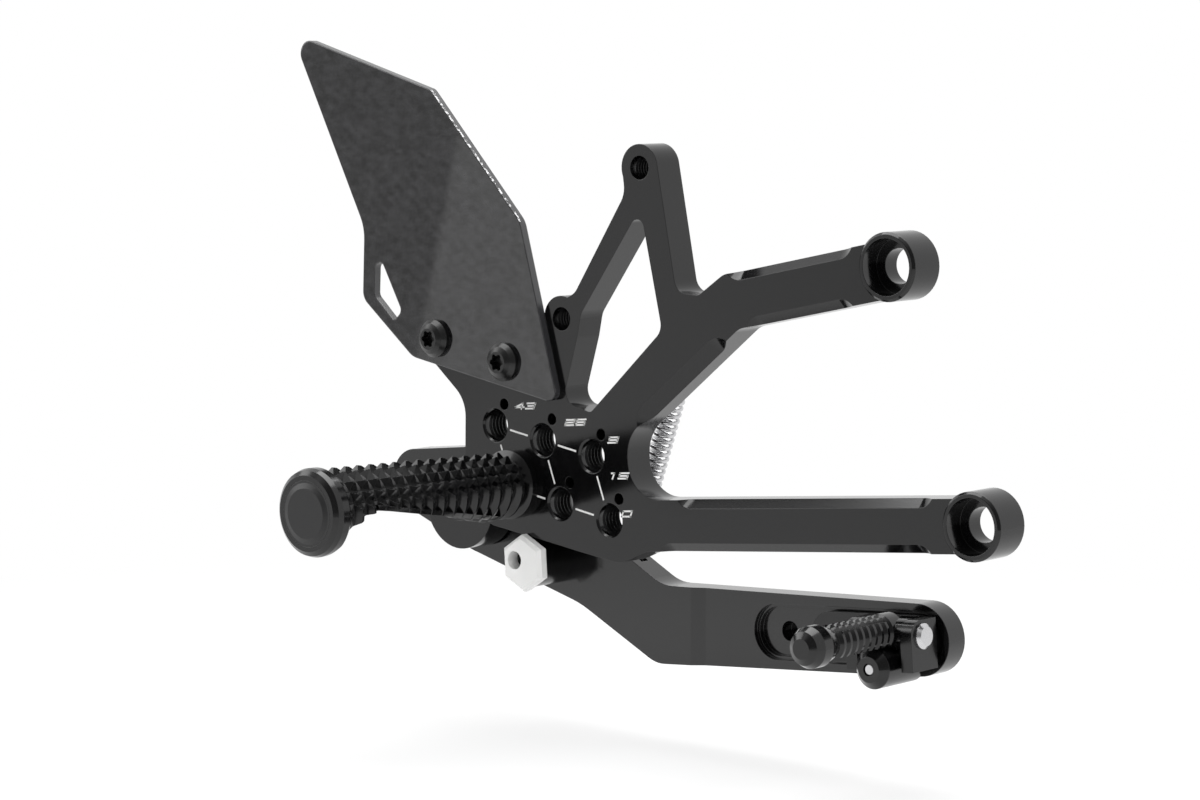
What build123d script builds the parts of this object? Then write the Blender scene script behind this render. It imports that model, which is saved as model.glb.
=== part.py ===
from build123d import *
import math
import os

# Brake-side rear set footrest: bracket, heel guard, footpeg, brake pedal and folding toe tip.
# Millimetres. +X points forwards, +Z up and -Y outwards, away from the motorcycle. The origin is
# the lower frame bolt hole, on the face that lies against the frame. Places in the side view are
# (X, Z), and outlines are lists of corners, each with its rounding radius.

os.makedirs("parts", exist_ok=True)

# Bracket plate and its frame bosses
plate_t = 8.5
boss_t = 10.0
boss_r = 8.25
frame_bolt_r = 4.25
frame_head_r = 6.8
frame_head_depth = 5.5
lower_boss = (0.0, 0.0)
upper_boss = (-25.0, 59.0)
arm_half = 6.5
lower_arm_slope = 0.0963
lower_arm_root = -100.0
hole_edge_break = 0.5

# Master cylinder lugs on the bracket
cylinder_top = (-102.7, 80.1)
cylinder_low = (-129.0, 40.9)
cylinder_lug_r = 5.9
cylinder_thread_r = 3.0

# Footpeg positions: a triangular grid of threaded holes, each with a dowel hole beside it
grid_first = (-152.3, 11.8)
grid_pitch = 17.0
grid_tilt = -9.0
grid_columns = 3
peg_thread_r = 4.0
dowel_r = 1.5
dowel_depth = 5.0
dowel_reach = 1.5
dowel_offset = (3.2, 5.75)

# Machined reliefs along the arm edges
relief = 2.2
deep_relief = 3.2
relief_cutter_r = 2.5
relief_far = -16.0
relief_near_top = -86.0
relief_near_low = -92.0
bay_r = 9.5
bay_x = -106.5

# Heel guard and its screws
guard_t = 2.2
guard_reach = 225.7
guard_height = 113.3
guard_screws = [(-171.7, 33.5), (-147.0, 28.9)]
guard_lug_r = 7.0
guard_screw_r = 3.0
guard_head_r = 5.0
guard_head_h = 3.0
guard_screw_length = 9.0

# Footpeg
peg_length = 73.5
peg_base_r = 9.0
peg_neck_length = 4.0
peg_flange_t = 2.0
peg_root_r = 8.7
peg_lift = 1.0
peg_outer_r = 10.6
peg_knob_r = 11.0
peg_knob_length = 6.5
peg_ring_pitch = 4.2
peg_ring_depth = 1.7
peg_groove_depth = 1.6
peg_groove_lift = 0.4
peg_groove_angles = [-74, -54, -33, -11, 11, 33, 54, 74]
peg_scoop_start = 12.0
peg_scoop_knee = (25.0, -5.6)
peg_scoop_corner = (66.5, 1.65)
peg_scoop_end = 70.5
peg_scoop_r = 13.0
peg_rim_start = 9.0
peg_rim_t = 1.2
peg_stud_depth = 18.0
peg_cap_r = 8.2
peg_cap_t = 2.5

# Brake pedal
pedal_gap = 1.0
pedal_t = 8.0
toe_face_drop = 1.0
toe_face_start = -93.5
pedal_pivot = (-165.5, -10.0)
pivot_lobe_r = 12.0
pedal_hub_r = 14.5
rod_eye = (-191.0, -7.0)
rod_lobe_r = 8.5
rod_eye_r = 3.0
toe_end = (-23.0, -30.8)
toe_end_r = 8.8
toe_tilt = 4.2
pedal_knee_low = (-105.0, -46.6)
pedal_knee_high = (-103.0, -26.2)

# Pedal pivot
pivot_shank_r = 5.0
pivot_thread_r = 4.0
bearing_r = 7.5
pivot_flange_r = 7.6
pivot_flange_t = 1.5
pivot_head_r = 5.6
pivot_head_h = 3.2

# Pedal rest stop: a hexagon with an off-centre stem, which turns a sleeve on the pedal
stop_across = 13.0
stop_t = 2.8
stop_chamfer = 0.9
stop_turn = -19.0
stop_at_x = -139.6
stop_offset = (-2.3, 0.65)
stop_stem_r = 3.2
stop_sleeve_r = 6.5
stop_screw_r = 1.25
stop_head_r = 2.2
stop_head_h = 2.5
stop_head_sink = 3.2

# Return spring
spring_top = (-100.4, 27.8)
spring_low = (-118.4, -23.6)
spring_y = 5.0
spring_r = 3.0
spring_wire_r = 0.5
spring_pitch = 1.75
spring_low_neck = 5.5
spring_top_neck = 1.5
spring_pin_r = 1.5
spring_pin_wall = 1.7
spring_slot = 2.6
post_r = 3.0
post_groove_r = 1.8
post_groove = 2.4

# Toe tip carrier and its recess in the pedal
recess_r = 7.0
recess_depth = 2.6
recess_step = 0.8
recess_step_depth = 1.2
recess_reach = 43.8
carrier_reach = 25.5
carrier_proud = 1.5
carrier_hole_first = 19.5
carrier_hole_pitch = 22.0
carrier_screw_r = 2.5
carrier_hole_wall = 0.8
carrier_head_r = 4.2
carrier_head_h = 2.6
hinge_out = 7.0
hinge_up = 2.2
ear_reach = 4.5
ear_t = 3.3
knuckle_r = 4.0
ear_first = 3.0
knuckle_w = 9.2
coil_w = 2.9
nose_r = 4.9
nose_length = 16.0
nose_chamfer = 1.8
hinge_pin_r = 2.0
hinge_head_r = 3.1
hinge_head_h = 1.3
clip_t = 0.6
clip_r = 3.6
stop_grub_r = 1.5

# Toe tip
tip_x = -3.4
tip_up = 1.0
tip_r = 4.4
tip_length = 34.0
tip_knob_r = 5.0
tip_knob_length = 8.5
tip_ring_pitch = 2.4
tip_ring_depth = 0.7
tip_groove_depth = 0.8
tip_groove_angles = [-36, -12, 12, 36]
tip_flat = 3.1

# Clearances
thread_clear = 0.05
running_clear = 0.03
press_clear = 0.02
side_clear = 0.3
rest_clear = 0.3
edge_break = 0.6

# Places that follow from the sizes above
pedal_front = pedal_gap
pedal_back = pedal_gap + pedal_t
toe_face = pedal_front + toe_face_drop
recess_floor = toe_face + recess_depth
carrier_front = toe_face - carrier_proud
hinge_y = toe_face - hinge_out
grid_along = Vector(grid_pitch, 0).rotate(Axis.Z, grid_tilt)
grid_down = Vector(grid_pitch, 0).rotate(Axis.Z, grid_tilt - 60)
grid_start = Vector(*grid_first)
peg_holes = [
    grid_start + grid_along * column + grid_down * row
    for row in range(2)
    for column in range(grid_columns)
]
peg_centre = peg_holes[grid_columns]
dowel_holes = [hole + Vector(*dowel_offset) for hole in peg_holes]
peg_dowel = peg_centre + Vector(*dowel_offset)
peg_body = peg_centre + Vector(0, peg_lift)


def side(y, place=(0.0, 0.0)):
    """A drawing plane in the side view at depth y, its normal pointing outwards."""
    return Plane(origin=(place[0], y, place[1]), x_dir=(1, 0, 0), z_dir=(0, -1, 0))


def inner_side(y, place=(0.0, 0.0)):
    """A drawing plane at depth y seen from the motorcycle, its normal pointing inwards."""
    return Plane(origin=(place[0], y, place[1]), x_dir=(-1, 0, 0), z_dir=(0, 1, 0))


def toe_side(y):
    """The side view turned to the toe arm, its origin at the centre of the arm's round end."""
    along = (math.cos(math.radians(toe_tilt)), 0, math.sin(math.radians(toe_tilt)))
    return Plane(origin=(toe_end[0], y, toe_end[1]), x_dir=along, z_dir=(0, -1, 0))


def toe_point(along, up, y):
    """A place (X, Y, Z) from a distance along the toe arm, a height above its middle and a depth."""
    return tuple(toe_side(y).from_local_coords((along, up, 0)))


def toe_cross(along, up, y):
    """A drawing plane square to the toe arm, with its x outwards (-Y) and its y up."""
    direction = toe_side(0).x_dir
    return Plane(origin=toe_point(along, up, y), x_dir=(0, -1, 0), z_dir=-direction)


def turning(origin, direction):
    """A plane for a turned profile: x runs along the axis, y is the radius."""
    axis = Vector(*direction)
    across = axis.cross(Vector(0, 1, 0)) if abs(axis.Y) < 0.9 else Vector(1, 0, 0)
    return Plane(origin=origin, x_dir=axis, z_dir=axis.cross(across))


def closed(corners):
    """A closed outline from (point, rounding radius) pairs."""
    FilletPolyline(*[c[0] for c in corners], radius=[c[1] for c in corners], close=True)


def turn(plane, profile):
    """Turn a closed profile of (along, radius) points about its plane's x axis."""
    with BuildSketch(plane) as half:
        with BuildLine():
            Polyline(*profile, close=True)
        make_face()
    revolve(half.sketch, axis=Axis(plane.origin, plane.x_dir))


def star_socket(plane, radius, depth):
    """A six-lobed key recess, cut into the face that the plane lies on."""
    with BuildSketch(plane) as star:
        Circle(radius * 0.78)
        with PolarLocations(radius * 0.72, 6):
            Circle(radius * 0.28)
    extrude(star.sketch, amount=-depth, mode=Mode.SUBTRACT)


def hex_socket(plane, across, depth):
    """A hexagon key recess, cut into the face that the plane lies on."""
    with BuildSketch(plane) as hexagon:
        RegularPolygon(across / 2, 6, major_radius=False)
    extrude(hexagon.sketch, amount=-depth, mode=Mode.SUBTRACT)


def edge_relief(start, end, depth):
    """Cut a 45 degree relief along a front edge of the plate, with the metal on the left of its run."""
    run = Vector(end[0] - start[0], 0, end[1] - start[1])
    along = run.normalized()
    inward = Vector(-along.Z, 0, along.X)
    spare = 1.0
    with BuildSketch(Plane(origin=(start[0], -plate_t, start[1]), x_dir=inward, z_dir=along)) as wedge:
        with BuildLine():
            Polyline((-spare, spare), (depth + spare, spare), (-spare, -depth - spare), close=True)
        make_face()
    extrude(wedge.sketch, amount=run.length, mode=Mode.SUBTRACT)
    for x, z in (start, end):
        cutter = Vector(x, -plate_t, z) - inward * relief_cutter_r
        tip = cutter + Vector(0, depth, 0)
        with BuildSketch(Plane(origin=tip, x_dir=(1, 0, 0), z_dir=(0, -1, 0))) as runout:
            Circle(relief_cutter_r)
        extrude(runout.sketch, amount=depth + spare, taper=-45, mode=Mode.SUBTRACT)


# Lines that several outlines share: the lower arm, the upper arm and the plate's bottom edge
def lower_arm_edge(x, half):
    """A place on an edge of the lower arm, half its width above or below its middle line."""
    return (x, half * math.hypot(1, lower_arm_slope) + lower_arm_slope * x)


bottom_right = (-109.0, -20.2)
bottom_left = (-153.0, -14.6)
upper_arm_top = [(-75.5, 54.8), (upper_boss[0], upper_boss[1] + arm_half)]
upper_arm_low = [(upper_boss[0], upper_boss[1] - arm_half - 1.0), (-70.5, 41.8)]
underside_slope = 0.813
underside_end = (bay_x, upper_arm_low[1][1] - underside_slope * (upper_arm_low[1][0] - bay_x))
guard_line = Vector(*guard_screws[1]) - Vector(*guard_screws[0])
guard_up = Vector(-guard_line.Y, guard_line.X).normalized() * guard_lug_r
lug_top_left = Vector(*guard_screws[0]) + guard_up
lug_top_right = Vector(*guard_screws[1]) + guard_up

bracket_outline = [
    (lower_arm_edge(lower_boss[0], -arm_half), 0),
    (lower_arm_edge(lower_arm_root, -arm_half), 6),
    (bottom_right, 8),
    (bottom_left, 0),
    (pedal_pivot, 0),
    ((-163.2, 3.5), 0),
    ((-163.0, 17.5), 9),
    ((guard_screws[0][0] - guard_lug_r * 0.7, guard_screws[0][1] - guard_lug_r * 0.714), 0),
    ((lug_top_left.X, lug_top_left.Y), 0),
    ((lug_top_right.X, lug_top_right.Y), 6),
    ((cylinder_low[0] - cylinder_lug_r * 0.95, cylinder_low[1] - 6.0), 2),
    ((cylinder_low[0] - cylinder_lug_r * 0.9, cylinder_low[1] + 2.0), 0),
    ((cylinder_low[0] + 4.6, cylinder_low[1] + 6.8), 5),
    ((cylinder_top[0] - 4.8, cylinder_top[1] - 6.6), 6),
    ((cylinder_top[0] - cylinder_lug_r * 0.98, cylinder_top[1]), 0),
    ((cylinder_top[0] + cylinder_lug_r * 0.99, cylinder_top[1] + 0.8), 0),
    ((-90.6, 49.6), 4),
    ((-83.5, 49.2), 3),
    (upper_arm_top[0], 6),
    (upper_arm_top[1], 0),
    (upper_arm_low[0], 0),
    (upper_arm_low[1], 6),
    (underside_end, bay_r),
    (lower_arm_edge(bay_x, arm_half), bay_r),
    (lower_arm_edge(lower_boss[0], arm_half), 0),
]

window_outline = [
    ((-102.4, 70.2), 2.2),
    ((-95.2, 39.9), 4),
    ((-119.0, 17.6), 2),
    ((-128.6, 19.6), 4),
    ((-123.6, 36.5), 8),
    ((-122.4, 42.4), 5),
]

# Bracket plate
with BuildPart() as bracket_plate:
    with BuildSketch(side(0)):
        with BuildLine():
            closed(bracket_outline)
        make_face()
        with BuildLine():
            closed(window_outline)
        make_face(mode=Mode.SUBTRACT)
        with Locations(guard_screws[0], guard_screws[1]):
            Circle(guard_lug_r)
        with Locations(pedal_pivot):
            Circle(pivot_lobe_r)
        with Locations(cylinder_top, cylinder_low):
            Circle(cylinder_lug_r)
    extrude(amount=plate_t)
    with BuildSketch(side(0)):
        with Locations(lower_boss, upper_boss):
            Circle(boss_r)
    extrude(amount=boss_t)
    boss_rims = bracket_plate.faces().filter_by(Axis.Y).sort_by(Axis.Y)[:2].edges()
    chamfer(boss_rims, edge_break)
    # Reliefs along the arms, clear of the bosses and of the hole field
    edge_relief(lower_arm_edge(relief_far, arm_half), lower_arm_edge(relief_near_top, arm_half), relief)
    edge_relief(lower_arm_edge(relief_near_low, -arm_half), lower_arm_edge(relief_far, -arm_half), relief)
    top_run = Vector(*upper_arm_top[0]) - Vector(*upper_arm_top[1])
    top_far = Vector(*upper_arm_top[1]) + top_run * 0.30
    top_near = Vector(*upper_arm_top[1]) + top_run * 0.90
    edge_relief((top_far.X, top_far.Y), (top_near.X, top_near.Y), relief)
    low_run = Vector(*upper_arm_low[1]) - Vector(*upper_arm_low[0])
    low_far = Vector(*upper_arm_low[0]) + low_run * 0.32
    low_near = Vector(*upper_arm_low[0]) + low_run * 0.86
    edge_relief((low_near.X, low_near.Y), (low_far.X, low_far.Y), relief)
    under_run = Vector(*underside_end) - Vector(*upper_arm_low[1])
    under_far = Vector(*upper_arm_low[1]) + under_run * 0.22
    under_near = Vector(*upper_arm_low[1]) + under_run * 0.80
    edge_relief((under_near.X, under_near.Y), (under_far.X, under_far.Y), deep_relief)
    # Frame bolts: counterbored from outside
    with BuildSketch(side(-boss_t / 2)):
        with Locations(lower_boss, upper_boss):
            Circle(frame_bolt_r)
    extrude(amount=boss_t, both=True, mode=Mode.SUBTRACT)
    with BuildSketch(side(-(boss_t - frame_head_depth))):
        with Locations(lower_boss, upper_boss):
            Circle(frame_head_r)
    extrude(amount=boss_t, mode=Mode.SUBTRACT)
    # Threaded holes: footpeg grid, master cylinder, heel guard, pedal pivot and spring post
    with BuildSketch(side(0)):
        with Locations(*[(hole.X, hole.Y) for hole in peg_holes]):
            Circle(peg_thread_r)
        with Locations(cylinder_top, cylinder_low):
            Circle(cylinder_thread_r)
        with Locations(guard_screws[0], guard_screws[1]):
            Circle(guard_screw_r)
        with Locations(pedal_pivot):
            Circle(pivot_thread_r)
    extrude(amount=plate_t, mode=Mode.SUBTRACT)
    with BuildSketch(side(-plate_t)):
        with Locations(*[(hole.X, hole.Y) for hole in dowel_holes]):
            Circle(dowel_r)
    extrude(amount=-dowel_depth, mode=Mode.SUBTRACT)
    with BuildSketch(side(0)):
        with Locations(spring_top):
            Circle(post_groove_r)
    extrude(amount=plate_t * 0.7, mode=Mode.SUBTRACT)
    front_holes = bracket_plate.edges().filter_by(GeomType.CIRCLE).filter_by(
        lambda e: e.is_closed and abs(e.center().Y + plate_t) < 0.01 and abs(e.radius - peg_thread_r) < 0.01
    )
    chamfer(front_holes, hole_edge_break)
bracket_plate.part.label = "bracket_plate"
export_step(bracket_plate.part, "parts/bracket_plate.step")

# Heel guard: flat carbon plate against the outside of the bracket
guard_outline = [
    ((-guard_reach, guard_height), 3.5),
    ((-173.3, 98.7), 3),
    ((-141.4, 65.4), 6),
    ((-128.3, 19.2), 2.5),
    ((-180.3, 28.1), 6),
    ((-198.9, 42.7), 4),
    ((-198.2, 61.6), 12),
]
guard_cutout = [
    ((-194.0, 57.0), 1.8),
    ((-184.2, 39.9), 1.8),
    ((-187.3, 37.2), 1.5),
    ((-194.6, 43.6), 2),
]
with BuildPart() as heel_guard:
    with BuildSketch(side(-plate_t)):
        with BuildLine():
            closed(guard_outline)
        make_face()
        with BuildLine():
            closed(guard_cutout)
        make_face(mode=Mode.SUBTRACT)
        with Locations(guard_screws[0], guard_screws[1]):
            Circle(guard_screw_r + side_clear, mode=Mode.SUBTRACT)
    extrude(amount=guard_t)
heel_guard.part.label = "heel_guard"
export_step(heel_guard.part, "parts/heel_guard.step")

# Heel guard screws: low domed heads with a star recess
guard_front = -plate_t - guard_t
with BuildPart() as heel_guard_screws:
    for place in guard_screws:
        shank_r = guard_screw_r - thread_clear
        turn(
            turning((place[0], guard_front, place[1]), (0, -1, 0)),
            [
                (-guard_screw_length, 0),
                (-guard_screw_length, shank_r - edge_break),
                (-guard_screw_length + edge_break, shank_r),
                (0, shank_r),
                (0, guard_head_r),
                (guard_head_h * 0.35, guard_head_r),
                (guard_head_h * 0.75, guard_head_r * 0.8),
                (guard_head_h, guard_head_r * 0.56),
                (guard_head_h, 0),
            ],
        )
        star_socket(side(guard_front - guard_head_h, place), guard_head_r * 0.46, guard_head_h * 0.7)
heel_guard_screws.part.label = "heel_guard_screws"
export_step(heel_guard_screws.part, "parts/heel_guard_screws.step")

# Footpeg: turned with rings, cut along its top into teeth, and scooped underneath
peg_ring_end = peg_length - peg_knob_length
peg_rings = round((peg_ring_end - peg_neck_length) / peg_ring_pitch)
peg_taper = (peg_outer_r - peg_root_r) / (peg_ring_end - peg_neck_length)


def ring_radius(along):
    """The radius over the footpeg's rings at a distance from the plate."""
    return peg_root_r + peg_taper * (along - peg_neck_length)


def groove_plane(angle):
    """The plane across a groove at its start, at an angle from the top, square to the taper."""
    outwards = Vector(math.sin(math.radians(angle)), 0, math.cos(math.radians(angle)))
    along = Vector(0, -1, 0) + outwards * peg_taper
    start = Vector(peg_body.X, -plate_t - peg_neck_length, peg_body.Y)
    return Plane(
        origin=start + outwards * (peg_root_r + peg_groove_lift),
        x_dir=outwards + Vector(0, peg_taper, 0),
        z_dir=along,
    )


peg_profile = [
    (0, 0),
    (0, peg_base_r),
    (peg_flange_t, peg_base_r),
    (peg_flange_t + 1.0, peg_root_r - peg_ring_depth),
]
for ring in range(peg_rings):
    ring_start = peg_neck_length + ring * peg_ring_pitch
    crest = ring_start + peg_ring_pitch * 0.42
    peg_profile += [
        (ring_start, ring_radius(ring_start) - peg_ring_depth),
        (ring_start + peg_ring_pitch * 0.25, ring_radius(ring_start)),
        (crest, ring_radius(crest)),
        (ring_start + peg_ring_pitch * 0.7, ring_radius(crest) - peg_ring_depth),
    ]
peg_profile += [
    (peg_ring_end, peg_outer_r - peg_ring_depth),
    (peg_ring_end + 1.2, peg_knob_r - 0.8),
    (peg_ring_end + 2.2, peg_knob_r),
    (peg_length - 2.2, peg_knob_r),
    (peg_length - 0.9, peg_knob_r - 0.45),
    (peg_length, peg_knob_r - 1.6),
    (peg_length, peg_cap_r),
    (peg_length - peg_cap_t, peg_cap_r),
    (peg_length - peg_cap_t, 0),
]
peg_axis = turning((peg_body.X, -plate_t, peg_body.Y), (0, -1, 0))
scoop_plane = Plane(
    origin=(peg_body.X, -plate_t, peg_body.Y), x_dir=(0, -1, 0), z_dir=(-1, 0, 0)
)
rim_slope = (peg_scoop_corner[1] - peg_scoop_knee[1]) / (peg_scoop_corner[0] - peg_scoop_knee[0])
rim_end = peg_scoop_corner[0] - peg_scoop_r * 0.6
rim_low = peg_scoop_knee[1] - rim_slope * (peg_scoop_knee[0] - peg_rim_start)
rim_high = peg_scoop_knee[1] + rim_slope * (rim_end - peg_scoop_knee[0])
with BuildPart() as scoop_rim:
    turn(
        peg_axis,
        [
            (peg_rim_start, 0),
            (peg_rim_start, ring_radius(peg_rim_start) - 0.15),
            (rim_end, ring_radius(rim_end) - 0.15),
            (rim_end, 0),
        ],
    )
    with BuildSketch(scoop_plane):
        with BuildLine():
            Polyline(
                (peg_rim_start - 1.0, rim_low - rim_slope),
                (rim_end + 1.0, rim_high + rim_slope),
                (rim_end + 1.0, rim_high + rim_slope + peg_rim_t),
                (peg_rim_start - 1.0, rim_low - rim_slope + peg_rim_t),
                close=True,
            )
        make_face()
    extrude(amount=peg_knob_r * 2, both=True, mode=Mode.INTERSECT)
with BuildPart() as footpeg:
    turn(peg_axis, peg_profile)
    # Grooves along the top between the neck and the knob, which follow the taper
    with BuildSketch(*[groove_plane(angle) for angle in peg_groove_angles]):
        Rectangle(peg_groove_depth * 2, peg_groove_depth * 2, rotation=45)
    extrude(amount=peg_ring_end - peg_neck_length, mode=Mode.SUBTRACT)
    # Plain rim along both sides of the scoop, where the rings stop short of the edge
    add(scoop_rim.part)
    # Scoop under the peg, deepest beside the knob
    scoop_low = -peg_knob_r * 1.5
    with BuildSketch(scoop_plane):
        with BuildLine():
            FilletPolyline(
                (peg_scoop_start, -peg_base_r),
                peg_scoop_knee,
                peg_scoop_corner,
                (peg_scoop_end, -peg_knob_r - 0.5),
                (peg_scoop_end, scoop_low),
                (peg_scoop_start, scoop_low),
                radius=[0, 6, peg_scoop_r, 0, 0, 0],
                close=True,
            )
        make_face()
    extrude(amount=peg_knob_r * 2, both=True, mode=Mode.SUBTRACT)
    # Blind hole for the stud, a little below the turned body's own axis
    with BuildSketch(side(-plate_t, (peg_centre.X, peg_centre.Y))):
        Circle(peg_thread_r)
    extrude(amount=peg_stud_depth, mode=Mode.SUBTRACT)
    # Dowel hole in the base
    with BuildSketch(side(-plate_t, (peg_dowel.X, peg_dowel.Y))):
        Circle(dowel_r)
    extrude(amount=dowel_reach + side_clear / 2, mode=Mode.SUBTRACT)
footpeg.part.label = "footpeg"
export_step(footpeg.part, "parts/footpeg.step")

# Footpeg stud: screwed into the peg's base and into the plate
stud_end = peg_stud_depth - side_clear
with BuildPart() as footpeg_stud:
    turn(
        turning((peg_centre.X, 0, peg_centre.Y), (0, -1, 0)),
        [
            (edge_break, 0),
            (edge_break, peg_thread_r - thread_clear - edge_break),
            (edge_break * 2, peg_thread_r - thread_clear),
            (plate_t + stud_end - edge_break, peg_thread_r - thread_clear),
            (plate_t + stud_end, peg_thread_r - thread_clear - edge_break),
            (plate_t + stud_end, 0),
        ],
    )
    hex_socket(inner_side(-edge_break, (peg_centre.X, peg_centre.Y)), peg_thread_r, peg_thread_r)
footpeg_stud.part.label = "footpeg_stud"
export_step(footpeg_stud.part, "parts/footpeg_stud.step")

# Footpeg end cap, pressed into the knob
with BuildPart() as footpeg_end_cap:
    turn(
        turning((peg_body.X, -plate_t - peg_length, peg_body.Y), (0, 1, 0)),
        [
            (-0.4, 0),
            (-0.4, peg_cap_r - 2.0),
            (0, peg_cap_r - 0.6),
            (0, peg_cap_r - press_clear),
            (peg_cap_t, peg_cap_r - press_clear),
            (peg_cap_t, 0),
        ],
    )
footpeg_end_cap.part.label = "footpeg_end_cap"
export_step(footpeg_end_cap.part, "parts/footpeg_end_cap.step")

# Footpeg dowel, which stops the peg turning
with BuildPart() as footpeg_dowel:
    with BuildSketch(side(-plate_t + dowel_depth - side_clear, (peg_dowel.X, peg_dowel.Y))):
        Circle(dowel_r - press_clear)
    extrude(amount=dowel_depth - side_clear + dowel_reach)
    chamfer(footpeg_dowel.edges().filter_by(GeomType.CIRCLE), dowel_r * 0.25)
footpeg_dowel.part.label = "footpeg_dowel"
export_step(footpeg_dowel.part, "parts/footpeg_dowel.step")

# Pedal rest stop: its sleeve bears on the bracket's bottom edge, so its place follows from that line
stop_line = (Vector(*bottom_left) - Vector(*bottom_right)).normalized()
stop_down = Vector(-stop_line.Y, stop_line.X)
edge_share = (stop_at_x - bottom_right[0]) / (bottom_left[0] - bottom_right[0])
stop_edge = Vector(*bottom_right) + (Vector(*bottom_left) - Vector(*bottom_right)) * edge_share
stop_centre = stop_edge + stop_down * (stop_sleeve_r + rest_clear)
stop_axis = stop_centre + Vector(*stop_offset)
stop_angle = math.degrees(math.atan2(stop_line.Y, stop_line.X))
stop_back = -plate_t - side_clear
stop_front = stop_back - stop_t
stop_seat = stop_front + stop_head_sink + stop_head_h

# Brake pedal: one machined lever with the hub, the push rod lobe and the toe arm
toe_low = toe_point(0, -toe_end_r, 0)
toe_high = toe_point(0, toe_end_r, 0)
pedal_outline = [
    ((toe_low[0], toe_low[2]), 0),
    (pedal_knee_low, 10),
    ((-131.0, -34.0), 30),
    ((pedal_pivot[0] - pedal_hub_r * 0.23, pedal_pivot[1] - pedal_hub_r * 0.97), 0),
    ((rod_eye[0] - rod_lobe_r * 0.1, rod_eye[1] - rod_lobe_r * 0.99), 0),
    ((rod_eye[0] - rod_lobe_r * 0.1, rod_eye[1] + rod_lobe_r * 0.99), 0),
    ((pedal_pivot[0], pedal_pivot[1] + pedal_hub_r * 0.99), 0),
    ((pedal_pivot[0] + pedal_hub_r * 0.45, pedal_pivot[1] + pedal_hub_r * 0.88), 0),
    (pedal_knee_high, 12),
    ((toe_high[0], toe_high[2]), 0),
]
with BuildPart() as brake_pedal:
    with BuildSketch(side(pedal_back)):
        with BuildLine():
            closed(pedal_outline)
        make_face()
        with Locations(pedal_pivot):
            Circle(pedal_hub_r)
        with Locations(rod_eye):
            Circle(rod_lobe_r)
        with Locations(toe_end):
            Circle(toe_end_r)
    extrude(amount=pedal_t)
    # The toe arm's outer face is milled back beyond the knee, with a short ramp
    ramp_at = (toe_face_start, pedal_front, toe_end[1])
    with BuildSketch(Plane(origin=ramp_at, x_dir=(1, 0, 0), z_dir=(0, 0, 1))):
        with BuildLine():
            reach = toe_end[0] + toe_end_r - toe_face_start + 1.0
            Polyline(
                (0, 0), (4.0, toe_face_drop), (reach, toe_face_drop), (reach, -1.0), (0, -1.0), close=True
            )
        make_face()
    extrude(amount=40, both=True, mode=Mode.SUBTRACT)
    chamfer(
        brake_pedal.faces().filter_by(Axis.Y).sort_by(Axis.Y)[-1].outer_wire().edges(),
        edge_break,
    )
    # Tapped hole for the rest stop's screw
    with BuildSketch(side(pedal_back, (stop_axis.X, stop_axis.Y))):
        Circle(stop_screw_r)
    extrude(amount=pedal_t, mode=Mode.SUBTRACT)
    # Bearing bore and push rod eye
    with BuildSketch(side(pedal_back)):
        with Locations(pedal_pivot):
            Circle(bearing_r)
        with Locations(rod_eye):
            Circle(rod_eye_r)
    extrude(amount=pedal_t, mode=Mode.SUBTRACT)
    # Recess for the toe carrier, with a stepped rim and tapped holes
    with BuildSketch(toe_side(toe_face + recess_step_depth)):
        with Locations((-recess_reach / 2, 0)):
            SlotCenterToCenter(recess_reach, recess_r * 2)
    extrude(amount=recess_step_depth + 5.0, mode=Mode.SUBTRACT)
    with BuildSketch(toe_side(recess_floor)):
        with Locations((-recess_reach / 2, 0)):
            SlotCenterToCenter(recess_reach, (recess_r - recess_step) * 2)
    extrude(amount=recess_depth, mode=Mode.SUBTRACT)
    with BuildSketch(toe_side(pedal_back - carrier_hole_wall)):
        with Locations((-carrier_hole_first, 0), (-carrier_hole_first - carrier_hole_pitch, 0)):
            Circle(carrier_screw_r)
    extrude(amount=pedal_t, mode=Mode.SUBTRACT)
    # Spring slot in the top edge, crossed by a pin hole that is blind from the back
    with BuildSketch(side(spring_y + spring_slot / 2)):
        with BuildLine():
            spring_run = (Vector(*spring_top) - Vector(*spring_low)).normalized()
            spring_across = Vector(-spring_run.Y, spring_run.X)
            slot_half = 5.0
            slot_low = Vector(*spring_low) - spring_run * 3.5
            slot_high = Vector(*spring_low) + spring_run * 20.0
            Polyline(
                tuple(slot_low - spring_across * slot_half)[:2],
                tuple(slot_low + spring_across * slot_half)[:2],
                tuple(slot_high + spring_across * slot_half)[:2],
                tuple(slot_high - spring_across * slot_half)[:2],
                close=True,
            )
        make_face()
    extrude(amount=spring_slot, mode=Mode.SUBTRACT)
    with BuildSketch(side(pedal_back, spring_low)):
        Circle(spring_pin_r)
    extrude(amount=pedal_t - spring_pin_wall, mode=Mode.SUBTRACT)
brake_pedal.part.label = "brake_pedal"
export_step(brake_pedal.part, "parts/brake_pedal.step")

# Pivot bearings, two sealed units side by side in the hub
bearing_w = pedal_t / 2 - press_clear


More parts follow.
